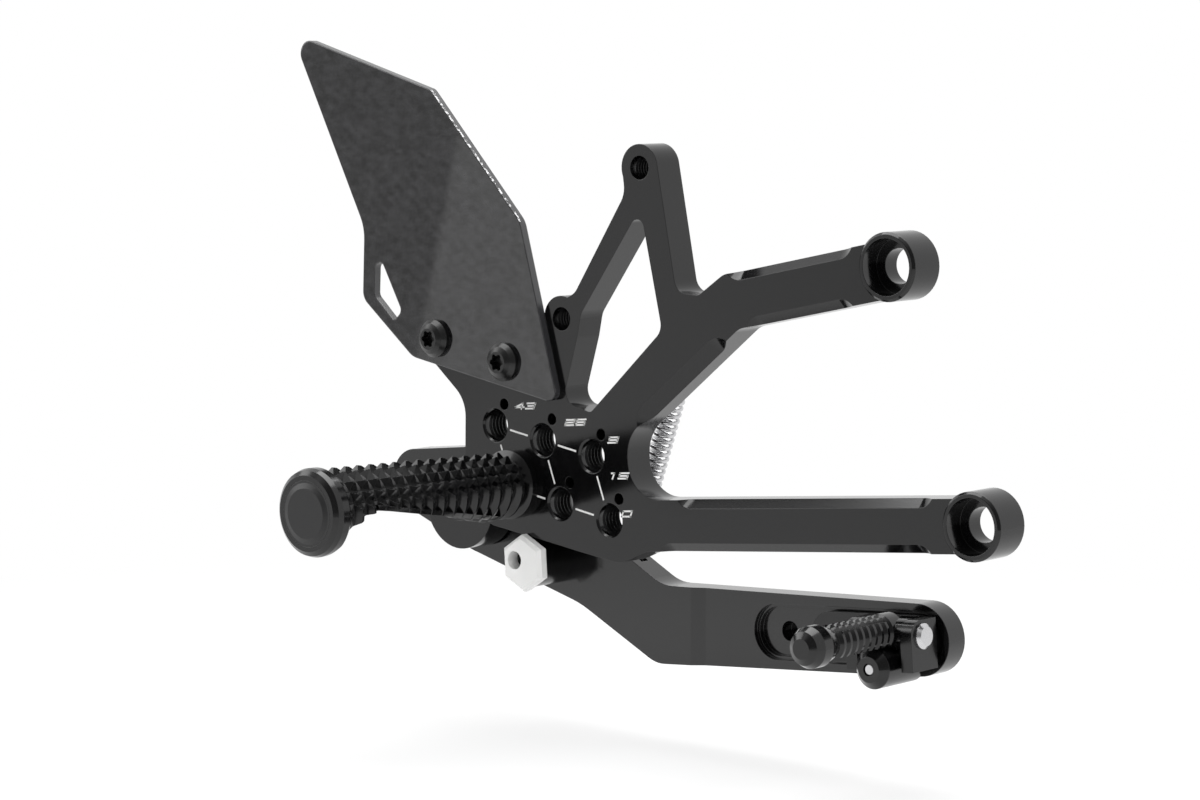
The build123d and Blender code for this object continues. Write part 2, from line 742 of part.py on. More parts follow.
def make_bearing(y, name):
    """A sealed ball bearing, its two rings and shields as one piece, from depth y inwards."""
    inner_r = pivot_shank_r
    ring_t = (bearing_r - inner_r) * 0.28
    dish = 0.4
    with BuildPart() as bearing:
        turn(
            turning((pedal_pivot[0], y, pedal_pivot[1]), (0, 1, 0)),
            [
                (0, inner_r),
                (0, inner_r + ring_t),
                (dish, inner_r + ring_t + 0.1),
                (dish, bearing_r - ring_t - 0.1),
                (0, bearing_r - ring_t),
                (0, bearing_r - press_clear),
                (bearing_w, bearing_r - press_clear),
                (bearing_w, bearing_r - ring_t),
                (bearing_w - dish, bearing_r - ring_t - 0.1),
                (bearing_w - dish, inner_r + ring_t + 0.1),
                (bearing_w, inner_r + ring_t),
                (bearing_w, inner_r),
            ],
        )
    bearing.part.label = name
    export_step(bearing.part, f"parts/{name}.step")


make_bearing(pedal_front, "pivot_bearing_outer")
make_bearing(pedal_front + pedal_t / 2 + press_clear, "pivot_bearing_inner")

# Pivot washer between the bracket and the outer bearing's inner ring
with BuildPart() as pivot_washer:
    with BuildSketch(side(pedal_gap - press_clear)):
        with Locations(pedal_pivot):
            Circle(pivot_shank_r + 1.0)
            Circle(pivot_shank_r, mode=Mode.SUBTRACT)
    extrude(amount=pedal_gap - press_clear)
pivot_washer.part.label = "pivot_washer"
export_step(pivot_washer.part, "parts/pivot_washer.step")

# Pivot bolt: its shank carries the bearings, its thread screws into the bracket
shank_r = pivot_shank_r - running_clear
flange_y = pedal_back + side_clear
with BuildPart() as pivot_bolt:
    turn(
        turning((pedal_pivot[0], 0, pedal_pivot[1]), (0, 1, 0)),
        [
            (-plate_t + edge_break, 0),
            (-plate_t + edge_break, pivot_thread_r - thread_clear - edge_break),
            (-plate_t + edge_break * 2, pivot_thread_r - thread_clear),
            (0, pivot_thread_r - thread_clear),
            (0, shank_r),
            (flange_y, shank_r),
            (flange_y, pivot_flange_r),
            (flange_y + pivot_flange_t, pivot_flange_r),
            (flange_y + pivot_flange_t, pivot_head_r),
            (flange_y + pivot_flange_t + pivot_head_h * 0.5, pivot_head_r),
            (flange_y + pivot_flange_t + pivot_head_h, pivot_head_r * 0.7),
            (flange_y + pivot_flange_t + pivot_head_h, 0),
        ],
    )
    head_end = flange_y + pivot_flange_t + pivot_head_h
    star_socket(inner_side(head_end, pedal_pivot), pivot_head_r * 0.6, pivot_head_h)
pivot_bolt.part.label = "pivot_bolt"
export_step(pivot_bolt.part, "parts/pivot_bolt.step")

# Rest stop hexagon: its stem turns on the off-centre screw and sets the pedal's height
stop_plane = Plane(
    origin=(stop_centre.X, stop_back, stop_centre.Y),
    x_dir=(math.cos(math.radians(stop_angle)), 0, math.sin(math.radians(stop_angle))),
    z_dir=(0, -1, 0),
)
with BuildPart() as pedal_stop:
    with BuildSketch(stop_plane):
        RegularPolygon(stop_across / 2, 6, major_radius=False, rotation=stop_turn)
    extrude(amount=stop_t)
    chamfer(pedal_stop.faces().sort_by(Axis.Y)[0].edges(), stop_chamfer)
    with BuildSketch(side(pedal_front - press_clear, (stop_axis.X, stop_axis.Y))):
        Circle(stop_stem_r)
    extrude(amount=pedal_front - press_clear - stop_back)
    with BuildSketch(side(pedal_front, (stop_axis.X, stop_axis.Y))):
        Circle(stop_screw_r + side_clear / 2)
    extrude(amount=pedal_front - stop_front, mode=Mode.SUBTRACT)
    with BuildSketch(side(stop_seat, (stop_axis.X, stop_axis.Y))):
        Circle(stop_head_r + side_clear / 2)
    extrude(amount=stop_seat - stop_front, mode=Mode.SUBTRACT)
pedal_stop.part.label = "pedal_stop"
export_step(pedal_stop.part, "parts/pedal_stop.step")

# Rest stop sleeve, between the hexagon and the pedal
with BuildPart() as pedal_stop_sleeve:
    with BuildSketch(side(pedal_front, (stop_centre.X, stop_centre.Y))):
        Circle(stop_sleeve_r)
        with Locations(stop_offset):
            Circle(stop_stem_r + thread_clear, mode=Mode.SUBTRACT)
    extrude(amount=pedal_front - stop_back - press_clear)
pedal_stop_sleeve.part.label = "pedal_stop_sleeve"
export_step(pedal_stop_sleeve.part, "parts/pedal_stop_sleeve.step")

# Rest stop screw, its head sunk in the stem
with BuildPart() as pedal_stop_screw:
    stop_screw_length = pedal_front - stop_seat + pedal_t * 0.7
    turn(
        turning((stop_axis.X, stop_seat, stop_axis.Y), (0, 1, 0)),
        [
            (-stop_head_h, 0),
            (-stop_head_h, stop_head_r - edge_break * 0.5),
            (-stop_head_h + edge_break * 0.5, stop_head_r),
            (0, stop_head_r),
            (0, stop_screw_r - thread_clear),
            (stop_screw_length, stop_screw_r - thread_clear),
            (stop_screw_length, 0),
        ],
    )
    hex_socket(side(stop_seat - stop_head_h, (stop_axis.X, stop_axis.Y)), stop_head_r, stop_head_h * 0.55)
pedal_stop_screw.part.label = "pedal_stop_screw"
export_step(pedal_stop_screw.part, "parts/pedal_stop_screw.step")

# Spring post on the back of the bracket
post_low = spring_y - post_groove / 2
post_high = spring_y + post_groove / 2
with BuildPart() as spring_post:
    turn(
        turning((spring_top[0], 0, spring_top[1]), (0, 1, 0)),
        [
            (-plate_t * 0.65, 0),
            (-plate_t * 0.65, post_groove_r - thread_clear),
            (0, post_groove_r - thread_clear),
            (0, post_r),
            (post_low, post_r),
            (post_low, post_groove_r),
            (post_high, post_groove_r),
            (post_high, post_r),
            (post_high + 1.6, post_r),
            (post_high + 2.2, post_r - edge_break),
            (post_high + 2.2, 0),
        ],
    )
spring_post.part.label = "spring_post"
export_step(spring_post.part, "parts/spring_post.step")

# Spring cross pin in the pedal's slot
with BuildPart() as spring_pin:
    with BuildSketch(side(pedal_back - edge_break, spring_low)):
        Circle(spring_pin_r - press_clear)
    extrude(amount=pedal_t - spring_pin_wall - edge_break - side_clear)
spring_pin.part.label = "spring_pin"
export_step(spring_pin.part, "parts/spring_pin.step")

# Return spring: close turns with a loop at each end
loop_r = post_groove_r + spring_wire_r * 2
top_slack = loop_r - spring_wire_r - post_groove_r
low_slack = loop_r - spring_wire_r - spring_pin_r
spring_dir = Vector(spring_run.X, 0, spring_run.Y)
top_loop = Vector(spring_top[0], spring_y, spring_top[1]) - spring_dir * (top_slack - side_clear * 0.3)
low_loop = Vector(spring_low[0], spring_y, spring_low[1]) + spring_dir * (low_slack - side_clear * 0.3)
coil_start = low_loop + spring_dir * loop_r
coil_length = (top_loop - low_loop).length - loop_r * 2 - spring_low_neck - spring_top_neck
turns = int(coil_length / spring_pitch)
turn_pitch = coil_length / turns
coil_profile = [(0, 0), (0, spring_wire_r), (spring_low_neck, spring_wire_r)]
for index in range(turns):
    coil_profile += [
        (spring_low_neck + index * turn_pitch, spring_r - spring_wire_r * 1.6),
        (spring_low_neck + (index + 0.5) * turn_pitch, spring_r),
    ]
coil_end = spring_low_neck + coil_length
coil_profile += [
    (coil_end, spring_r - spring_wire_r * 1.6),
    (coil_end, spring_wire_r),
    (coil_end + spring_top_neck, spring_wire_r),
    (coil_end + spring_top_neck, 0),
]
with BuildPart() as return_spring:
    turn(turning(tuple(coil_start), tuple(spring_dir)), coil_profile)
    for centre in (top_loop, low_loop):
        with Locations(Plane(origin=centre, x_dir=(1, 0, 0), z_dir=(0, -1, 0))):
            Torus(loop_r, spring_wire_r)
return_spring.part.label = "return_spring"
export_step(return_spring.part, "parts/return_spring.step")

# Toe carrier: sits in the pedal's recess, with two hinge ears and a nose that the tip rests on
left_ear_end = ear_first - side_clear * 2 - knuckle_w - coil_w - side_clear - ear_t
coil_wire = (coil_w - side_clear) / 6
coil_mid_r = hinge_pin_r + side_clear + coil_wire
coil_at = ear_first - side_clear * 2 - knuckle_w
carrier_r = recess_r - recess_step - side_clear * 0.5
nose_up = hinge_up + tip_up - tip_flat - rest_clear - nose_r


def ear(start):
    """One hinge ear of the toe carrier, from a distance along the toe arm."""
    reach = carrier_front - hinge_y + ear_reach
    with BuildSketch(toe_cross(start, 0, carrier_front)) as profile:
        with BuildLine():
            closed([
                ((0, -carrier_r), 0),
                ((reach, -carrier_r), 0),
                ((reach, carrier_r), 3.5),
                ((0, carrier_r), 0),
            ])
        make_face()
    extrude(profile.sketch, amount=-ear_t)


with BuildPart() as toe_carrier:
    with BuildSketch(toe_side(recess_floor)):
        with Locations((-carrier_reach / 2, 0)):
            SlotCenterToCenter(carrier_reach, carrier_r * 2)
    extrude(amount=recess_floor - carrier_front)
    ear(ear_first)
    ear(left_ear_end)
    # Nose under the tip
    with BuildSketch(toe_side(toe_face)):
        with Locations((tip_x, nose_up)):
            Circle(nose_r)
    extrude(amount=nose_length)
    chamfer(toe_carrier.faces().sort_by(Axis.Y)[0].edges(), nose_chamfer)
    # Room for the knuckle to turn between the ears
    with BuildSketch(toe_cross(left_ear_end + ear_t, hinge_up, hinge_y)):
        Circle(knuckle_r + side_clear)
    extrude(amount=-(ear_first - left_ear_end - ear_t), mode=Mode.SUBTRACT)
    with BuildSketch(toe_cross(left_ear_end, hinge_up, hinge_y)):
        Circle(hinge_pin_r)
    extrude(amount=-(ear_first + ear_t - left_ear_end), mode=Mode.SUBTRACT)
    with BuildSketch(toe_side(toe_face - nose_length)):
        with Locations((tip_x, nose_up)):
            Circle(stop_grub_r)
    extrude(amount=-nose_length * 0.6, mode=Mode.SUBTRACT)
    # Screw hole with a seat for the head
    with BuildSketch(toe_side(recess_floor)):
        with Locations((-carrier_hole_first, 0)):
            Circle(carrier_screw_r + side_clear)
    extrude(amount=recess_depth + carrier_proud, mode=Mode.SUBTRACT)
toe_carrier.part.label = "toe_carrier"
export_step(toe_carrier.part, "parts/toe_carrier.step")

# Carrier screw
carrier_screw_at = toe_point(-carrier_hole_first, 0, carrier_front)
with BuildPart() as carrier_screw:
    carrier_screw_length = pedal_back - carrier_hole_wall - carrier_front - edge_break
    turn(
        turning(carrier_screw_at, (0, 1, 0)),
        [
            (-carrier_head_h, 0),
            (-carrier_head_h, carrier_head_r * 0.7),
            (-carrier_head_h * 0.4, carrier_head_r),
            (0, carrier_head_r),
            (0, carrier_screw_r - thread_clear),
            (carrier_screw_length, carrier_screw_r - thread_clear),
            (carrier_screw_length, 0),
        ],
    )
    star_plane = side(carrier_front - carrier_head_h, (carrier_screw_at[0], carrier_screw_at[2]))
    star_socket(star_plane, carrier_head_r * 0.55, carrier_head_h * 0.7)
carrier_screw.part.label = "carrier_screw"
export_step(carrier_screw.part, "parts/carrier_screw.step")

# Grub screw in the carrier's nose
grub_at = toe_point(tip_x, nose_up, toe_face - nose_length + side_clear)
with BuildPart() as toe_grub_screw:
    turn(
        turning(grub_at, (0, 1, 0)),
        [
            (0, 0),
            (0, stop_grub_r - thread_clear - edge_break * 0.5),
            (edge_break * 0.5, stop_grub_r - thread_clear),
            (nose_length * 0.5, stop_grub_r - thread_clear),
            (nose_length * 0.5, 0),
        ],
    )
toe_grub_screw.part.label = "toe_grub_screw"
export_step(toe_grub_screw.part, "parts/toe_grub_screw.step")

# Toe tip: a small ringed peg on a hinge knuckle
tip_start = ear_reach + side_clear
tip_ring_end = tip_length - tip_knob_length
tip_rings = int((tip_ring_end - tip_start) / tip_ring_pitch)
knuckle_end = ear_first - side_clear
tip_origin = toe_point(tip_x, hinge_up + tip_up, hinge_y)
tip_profile = [(0, 0), (0, tip_r), (tip_start - tip_ring_depth, tip_r), (tip_start, tip_r - tip_ring_depth)]
for ring in range(tip_rings):
    ring_start = tip_start + ring * tip_ring_pitch
    tip_profile += [
        (ring_start + tip_ring_pitch * 0.3, tip_r),
        (ring_start + tip_ring_pitch * 0.65, tip_r),
        (ring_start + tip_ring_pitch, tip_r - tip_ring_depth),
    ]
tip_profile += [
    (tip_ring_end + 1.5, tip_knob_r - 0.4),
    (tip_ring_end + 2.5, tip_knob_r),
    (tip_length - 3.0, tip_knob_r),
    (tip_length - 1.0, tip_knob_r - 1.0),
    (tip_length, tip_knob_r - 2.6),
    (tip_length, 0),
]
with BuildPart() as toe_tip:
    turn(turning(tip_origin, (0, -1, 0)), tip_profile)
    with BuildSketch(side(tip_origin[1] - tip_start, (tip_origin[0], tip_origin[2]))):
        for angle in tip_groove_angles:
            with Locations(Location((0, 0), 90 + angle)):
                with Locations((tip_r, 0)):
                    Rectangle(tip_groove_depth * 1.4, tip_groove_depth * 1.4, rotation=45)
    extrude(amount=tip_ring_end - tip_start, mode=Mode.SUBTRACT)
    # Scoop underneath, deepest beside the knob
    with BuildSketch(Plane(origin=tip_origin, x_dir=(0, -1, 0), z_dir=(-1, 0, 0))):
        with BuildLine():
            Polyline(
                (-tip_r, -tip_flat),
                (tip_ring_end - 1.0, -tip_flat),
                (tip_ring_end + 2.0, -tip_knob_r - 0.5),
                (tip_ring_end + 2.0, -tip_r * 2),
                (-tip_r, -tip_r * 2),
                close=True,
            )
        make_face()
    extrude(amount=tip_knob_r * 2, both=True, mode=Mode.SUBTRACT)
    # Knuckle round the hinge pin
    with BuildSketch(toe_cross(knuckle_end - knuckle_w, hinge_up, hinge_y)):
        Circle(knuckle_r)
    extrude(amount=-knuckle_w)
    with BuildSketch(toe_cross(knuckle_end - knuckle_w - 1.0, hinge_up, hinge_y)):
        Circle(hinge_pin_r + thread_clear)
    extrude(amount=-(knuckle_w + 2.0), mode=Mode.SUBTRACT)
    # Room for the hinge spring beside the knuckle
    with BuildSketch(toe_cross(knuckle_end - knuckle_w - coil_w, hinge_up, hinge_y)):
        Circle(coil_mid_r + coil_wire + side_clear)
    extrude(amount=-coil_w, mode=Mode.SUBTRACT)
toe_tip.part.label = "toe_tip"
export_step(toe_tip.part, "parts/toe_tip.step")

# Hinge pin with a domed head, held by a clip at its other end
pin_head = toe_point(ear_first + ear_t, hinge_up, hinge_y)
pin_length = ear_first + ear_t - left_ear_end + clip_t + 1.2
arm_back = toe_side(0).x_dir * -1
with BuildPart() as toe_hinge_pin:
    turn(
        turning(pin_head, tuple(arm_back)),
        [
            (-hinge_head_h, 0),
            (-hinge_head_h, hinge_head_r * 0.75),
            (-hinge_head_h * 0.4, hinge_head_r),
            (0, hinge_head_r),
            (0, hinge_pin_r - press_clear),
            (pin_length - clip_t - 1.0, hinge_pin_r - press_clear),
            (pin_length - clip_t - 1.0, hinge_pin_r - 0.5),
            (pin_length - 0.9, hinge_pin_r - 0.5),
            (pin_length - 0.9, hinge_pin_r - press_clear),
            (pin_length, hinge_pin_r - 0.4),
            (pin_length, 0),
        ],
    )
toe_hinge_pin.part.label = "toe_hinge_pin"
export_step(toe_hinge_pin.part, "parts/toe_hinge_pin.step")

# Hinge clip in the pin's groove
clip_start = left_ear_end - 0.2 - clip_t
with BuildPart() as toe_hinge_clip:
    with BuildSketch(toe_cross(clip_start + clip_t, hinge_up, hinge_y)):
        Circle(clip_r)
        Circle(hinge_pin_r - 0.5 + press_clear, mode=Mode.SUBTRACT)
        with Locations((0, -clip_r / 2)):
            Rectangle(hinge_pin_r * 1.4, clip_r, mode=Mode.SUBTRACT)
    extrude(amount=clip_t - 0.05)
toe_hinge_clip.part.label = "toe_hinge_clip"
export_step(toe_hinge_clip.part, "parts/toe_hinge_clip.step")

# Hinge spring: three turns round the pin beside the knuckle, with a leg to the tip and one to the carrier
with BuildPart() as toe_hinge_spring:
    coil_line = [(0, coil_mid_r - coil_wire)]
    for index in range(3):
        coil_line += [
            (coil_wire * (index * 2), coil_mid_r + coil_wire * 0.3),
            (coil_wire * (index * 2 + 1), coil_mid_r + coil_wire),
        ]
    coil_line += [(coil_wire * 6, coil_mid_r + coil_wire * 0.3), (coil_wire * 6, coil_mid_r - coil_wire)]
    turn(turning(toe_point(coil_at, hinge_up, hinge_y), tuple(arm_back)), coil_line)
    for up, out in ((coil_mid_r, 1), (-coil_mid_r, -1)):
        leg = toe_point(coil_at - coil_wire * 3, hinge_up + up, hinge_y)
        with BuildSketch(Plane(origin=leg, x_dir=(1, 0, 0), z_dir=(0, -out, 0))):
            Circle(coil_wire)
        extrude(amount=hinge_out - carrier_proud - side_clear if out < 0 else ear_reach)
toe_hinge_spring.part.label = "toe_hinge_spring"
export_step(toe_hinge_spring.part, "parts/toe_hinge_spring.step")
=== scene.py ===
"""Finishes, marks, wire and stage for the brake-side rear set footrest, laid out as a Blender add-on."""

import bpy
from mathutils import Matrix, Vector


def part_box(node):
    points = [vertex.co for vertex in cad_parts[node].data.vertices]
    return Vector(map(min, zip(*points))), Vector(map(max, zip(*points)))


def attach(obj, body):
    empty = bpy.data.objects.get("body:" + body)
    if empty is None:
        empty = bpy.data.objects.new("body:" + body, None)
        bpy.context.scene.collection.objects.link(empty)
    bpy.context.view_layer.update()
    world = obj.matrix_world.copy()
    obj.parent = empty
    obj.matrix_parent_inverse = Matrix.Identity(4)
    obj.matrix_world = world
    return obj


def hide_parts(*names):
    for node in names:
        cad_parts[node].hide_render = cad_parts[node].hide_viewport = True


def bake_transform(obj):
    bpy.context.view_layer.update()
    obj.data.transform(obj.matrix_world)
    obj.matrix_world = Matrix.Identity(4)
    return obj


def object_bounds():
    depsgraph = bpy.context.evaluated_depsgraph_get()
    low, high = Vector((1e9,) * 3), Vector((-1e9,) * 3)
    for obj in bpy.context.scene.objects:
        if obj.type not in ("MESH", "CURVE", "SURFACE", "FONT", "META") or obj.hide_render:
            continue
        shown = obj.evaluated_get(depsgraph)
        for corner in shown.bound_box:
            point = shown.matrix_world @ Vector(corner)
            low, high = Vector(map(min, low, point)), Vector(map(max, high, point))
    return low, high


bl_info = {
    "name": "Rear set footrest",
    "version": (1, 0, 0),
    "blender": (4, 5, 0),
    "location": "3D View > Sidebar > Footrest",
    "description": "Dresses the footrest's solids with finishes, hole marks, threads and wire springs",
    "category": "Object",
}

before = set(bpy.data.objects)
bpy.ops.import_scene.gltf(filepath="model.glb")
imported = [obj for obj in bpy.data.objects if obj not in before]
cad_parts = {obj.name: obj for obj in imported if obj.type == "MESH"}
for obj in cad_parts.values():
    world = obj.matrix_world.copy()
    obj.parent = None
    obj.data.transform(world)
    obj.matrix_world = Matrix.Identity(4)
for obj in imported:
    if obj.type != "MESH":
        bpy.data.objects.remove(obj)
cad_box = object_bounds()

import math

import bpy
from bpy.props import FloatProperty, FloatVectorProperty, IntProperty, PointerProperty
from mathutils import Matrix, Vector

MM = 0.001
PLATE_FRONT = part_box("heel_guard")[1].y
GUARD_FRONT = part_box("heel_guard")[0].y
# The guard's upper right edge: which way it faces, how far down it goes, and how deep its chips are
CHIPPED_EDGE = (0.722, 0, 0.692)
CHIPPED_FROM = 60 * MM
CHIP_DEPTH = 0.75 * MM
# The pressed pedal dips this far below its rest, and the floor leaves room for it
PEDAL_DIP = 20.5 * MM
FLOOR_Z = min(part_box(name)[0].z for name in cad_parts) - PEDAL_DIP
HINGE_AXIS = Vector((-0.997314, 0, -0.073238))
OUT = Vector((0, -1, 0))
# The rear footpeg hole of the upper row, the hole that the footpeg is in, and the master cylinder holes
FIRST_HOLE = Vector((-152.3 * MM, PLATE_FRONT, 11.8 * MM))
PEG_HOLE = 3
LUG_HOLES = (Vector((-102.7 * MM, PLATE_FRONT, 80.1 * MM)), Vector((-129.0 * MM, PLATE_FRONT, 40.9 * MM)))
WIRE_SIDES = 10

# The photograph's camera, and the soft lights: place, size and power
EYE = Vector((453.18, -647.14, 114.54)) * MM
AIM = Vector((-110.0, -15.0, 22.0)) * MM
LENS = 102.0
SENSOR = 36.0
SOFTBOXES = (
    ("top_softbox", (-0.25, 0.10, 0.95), (1.1, 0.8), 11.0),
    ("left_softbox", (-1.0, -0.55, 0.45), (0.7, 0.7), 4.0),
    ("right_softbox", (0.9, -0.15, 0.6), (0.6, 0.9), 5.0),
)
FLOOR_RADIUS = 0.8

# The numbers beside the footpeg holes, with the middle of each in the side view in millimetres,
# and the strokes of their digits in a square of side 1
NUMBERS = (
    ("43", -141.6, 17.6),
    ("26", -124.2, 14.7),
    ("9", -111.3, 11.2),
    ("15", -109.7, 2.2),
    ("0", -106.7, -7.2),
)
DIGIT_STROKES = {
    "0": (((0, 0), (1, 0)), ((1, 0), (1, 1)), ((1, 1), (0, 1)), ((0, 1), (0, 0))),
    "1": (((0.6, 0), (0.6, 1)), ((0.3, 1), (0.6, 1))),
    "2": (((0, 1), (1, 1)), ((1, 1), (1, 0.5)), ((1, 0.5), (0, 0.5)), ((0, 0.5), (0, 0)), ((0, 0), (1, 0))),
    "3": (((0, 1), (1, 1)), ((1, 1), (1, 0)), ((0.2, 0.5), (1, 0.5)), ((1, 0), (0, 0))),
    "4": (((0.75, 0), (0.75, 1)), ((0.75, 1), (-0.1, 0.3)), ((-0.1, 0.3), (1, 0.3))),
    "5": (((1, 1), (0, 1)), ((0, 1), (0, 0.5)), ((0, 0.5), (1, 0.5)), ((1, 0.5), (1, 0)), ((1, 0), (0, 0))),
    "6": (((1, 1), (0, 1)), ((0, 1), (0, 0)), ((0, 0), (1, 0)), ((1, 0), (1, 0.5)), ((1, 0.5), (0, 0.5))),
    "9": (((0, 0), (1, 0)), ((1, 0), (1, 1)), ((1, 1), (0, 1)), ((0, 1), (0, 0.5)), ((0, 0.5), (1, 0.5))),
}


class FootrestSizes(bpy.types.PropertyGroup):
    """Sizes of what is added to the solids."""

    hole_pitch: FloatProperty(
        name="Hole pitch", description="Distance between two footpeg holes",
        default=17.0 * MM, min=0.001, unit="LENGTH")
    hole_tilt: FloatProperty(
        name="Hole tilt", description="Slope of a row of footpeg holes",
        default=math.radians(-9.0), subtype="ANGLE")
    hole_radius: FloatProperty(
        name="Hole radius", description="Radius of a footpeg hole's thread",
        default=4.0 * MM, min=0.0005, unit="LENGTH")
    hole_thread: FloatProperty(
        name="Thread pitch", description="Pitch of a footpeg hole's thread",
        default=1.25 * MM, min=0.0002, unit="LENGTH")
    lug_radius: FloatProperty(
        name="Lug hole radius", description="Radius of a master cylinder hole's thread",
        default=3.0 * MM, min=0.0005, unit="LENGTH")
    lug_thread: FloatProperty(
        name="Lug thread pitch", description="Pitch of a master cylinder hole's thread",
        default=1.0 * MM, min=0.0002, unit="LENGTH")
    mark_width: FloatProperty(
        name="Mark width", description="Width of the line between two holes",
        default=0.5 * MM, min=0.00005, unit="LENGTH")
    mark_height: FloatProperty(
        name="Mark height", description="How far a mark stands out of the plate",
        default=0.03 * MM, min=0.000005, unit="LENGTH")
    digit_height: FloatProperty(
        name="Digit height", description="Height of the numbers beside the holes",
        default=1.35 * MM, min=0.0002, unit="LENGTH")
    digit_width: FloatProperty(
        name="Digit width", description="Width of one number beside a hole",
        default=2.9 * MM, min=0.0002, unit="LENGTH")
    digit_stroke: FloatProperty(
        name="Digit stroke", description="Width of the strokes of the numbers",
        default=0.44 * MM, min=0.00005, unit="LENGTH")
    coil_radius: FloatProperty(
        name="Coil radius", description="Outer radius of the return spring",
        default=3.0 * MM, min=0.0005, unit="LENGTH")
    coil_pitch: FloatProperty(
        name="Coil pitch", description="Distance between two turns of the return spring",
        default=1.75 * MM, min=0.0002, unit="LENGTH")
    wire_radius: FloatProperty(
        name="Wire radius", description="Radius of the return spring's wire",
        default=0.5 * MM, min=0.0001, unit="LENGTH")
    coil_steps: IntProperty(
        name="Coil steps", description="Faces along one turn of the return spring", default=26, min=8)


class FootrestColours(bpy.types.PropertyGroup):
    """Colours of the finishes."""

    anodised: FloatVectorProperty(
        name="Anodised", description="Black anodised aluminium",
        default=(0.0022, 0.0022, 0.0024), size=3, subtype="COLOR", min=0, max=1)
    # The two weave colours are painted sheen: tows that lie across the light are painted lighter, tows that
    # lie along it are painted darker
    weave_painted_shade: FloatVectorProperty(
        name="Weave, dark", description="Carbon tows that lie along the light",
        default=(0.0010, 0.0010, 0.0011), size=3, subtype="COLOR", min=0, max=1)
    weave_painted_sheen: FloatVectorProperty(
        name="Weave, light", description="Carbon tows that lie across the light",
        default=(0.0260, 0.0260, 0.0275), size=3, subtype="COLOR", min=0, max=1)
    steel: FloatVectorProperty(
        name="Steel", description="Ground and plated steel",
        default=(0.62, 0.62, 0.63), size=3, subtype="COLOR", min=0, max=1)
    oxide: FloatVectorProperty(
        name="Black oxide", description="Blackened steel screws",
        default=(0.0035, 0.0035, 0.0036), size=3, subtype="COLOR", min=0, max=1)
    stop_white: FloatVectorProperty(
        name="Rest stop", description="White plastic of the rest stop",
        default=(0.80, 0.80, 0.79), size=3, subtype="COLOR", min=0, max=1)
    fibre_ends: FloatVectorProperty(
        name="Fibre ends", description="Cut edge of the carbon plate",
        default=(0.030, 0.030, 0.032), size=3, subtype="COLOR", min=0, max=1)
    chips: FloatVectorProperty(
        name="Chips", description="Chipped lacquer along the guard's upper edge",
        default=(0.75, 0.75, 0.76), size=3, subtype="COLOR", min=0, max=1)
    mark_white: FloatVectorProperty(
        name="Marks", description="Paint in the engraved marks",
        default=(0.72, 0.72, 0.71), size=3, subtype="COLOR", min=0, max=1)
    floor: FloatVectorProperty(
        name="Floor", description="Pale studio floor",
        default=(0.88, 0.88, 0.88), size=3, subtype="COLOR", min=0, max=1)


class Wire:
    """A node socket that takes part in Python expressions, and the tree that it belongs to."""

    def __init__(self, tree, socket=None):
        self.tree = tree
        self.socket = socket

    def node(self, kind, settings=None, inputs=None, output=0):
        """Add a node, set its settings, then its sockets by value or link, and return one output."""
        made = self.tree.nodes.new(kind)
        for name, value in (settings or {}).items():
            setattr(made, name, value)
        for name, value in (inputs or {}).items():
            if isinstance(value, Wire):
                self.tree.links.new(value.socket, made.inputs[name])
            else:
                made.inputs[name].default_value = value
        return Wire(self.tree, made.outputs[output]) if made.outputs else None

    def math(self, operation, first, second=0.0):
        """A Math node on values, sockets or both."""
        return self.node("ShaderNodeMath", {"operation": operation}, {0: first, 1: second})

    def __add__(self, other):
        return self.math("ADD", self, other)

    def __radd__(self, other):
        return self.math("ADD", other, self)

    def __sub__(self, other):
        return self.math("SUBTRACT", self, other)

    def __rsub__(self, other):
        return self.math("SUBTRACT", other, self)

    def __mul__(self, other):
        return self.math("MULTIPLY", self, other)

    def __rmul__(self, other):
        return self.math("MULTIPLY", other, self)

    def __mod__(self, other):
        return self.math("FLOORED_MODULO", self, other)

    def __lt__(self, other):
        return self.math("LESS_THAN", self, other)

    def __gt__(self, other):
        return self.math("GREATER_THAN", self, other)

    def floor(self):
        """The whole number below."""
        return self.math("FLOOR", self)

    def fraction(self):
        """The part after the decimal point."""
        return self.math("FRACT", self)

    def blend(self, first, second):
        """Mix two colours by this value."""
        return self.node(
            "ShaderNodeMix", {"data_type": "RGBA"}, {0: self, 6: first, 7: second}, output=2)

    def place(self, scale=(1, 1, 1), turn=(0, 0, 0)):
        """Object coordinates, scaled and turned."""
        coords = self.node("ShaderNodeTexCoord", output="Object")
        return self.node("ShaderNodeMapping", None, {"Vector": coords, "Scale": scale, "Rotation": turn})

    def noise(self, scale, detail=2.0, turn=(0, 0, 0)):
        """Noise with its own scale along each axis, per metre."""
        return self.node(
            "ShaderNodeTexNoise", None,
            {"Vector": self.place(scale, turn), "Scale": 1.0, "Detail": detail, "Roughness": 0.55})

    def rounded(self, radius):
        """A normal that runs round sharp edges, as on a deburred edge."""
        return self.node("ShaderNodeBevel", {"samples": 6}, {"Radius": radius})

    def bump(self, height, strength, distance, normal=None):
        """A Bump node."""
        inputs = {"Height": height, "Strength": strength, "Distance": distance}
        if normal:
            inputs["Normal"] = normal
        return self.node("ShaderNodeBump", None, inputs)


def colour4(value):
    """A colour with alpha, as node sockets take it."""
    return (*value, 1.0)


def shaded(value, factor):
    """A colour made darker or lighter."""
    return tuple(min(1.0, part * factor) for part in value)


def new_finish(name):
    """An empty node material and its wire."""
    material = bpy.data.materials.new(name)
    material.use_nodes = True
    material.node_tree.nodes.clear()
    return material, Wire(material.node_tree)


def close_finish(wire, settings):
    """End a material with one Principled shader."""
    shader = wire.node("ShaderNodeBsdfPrincipled", None, settings)
    wire.node("ShaderNodeOutputMaterial", None, {"Surface": shader})


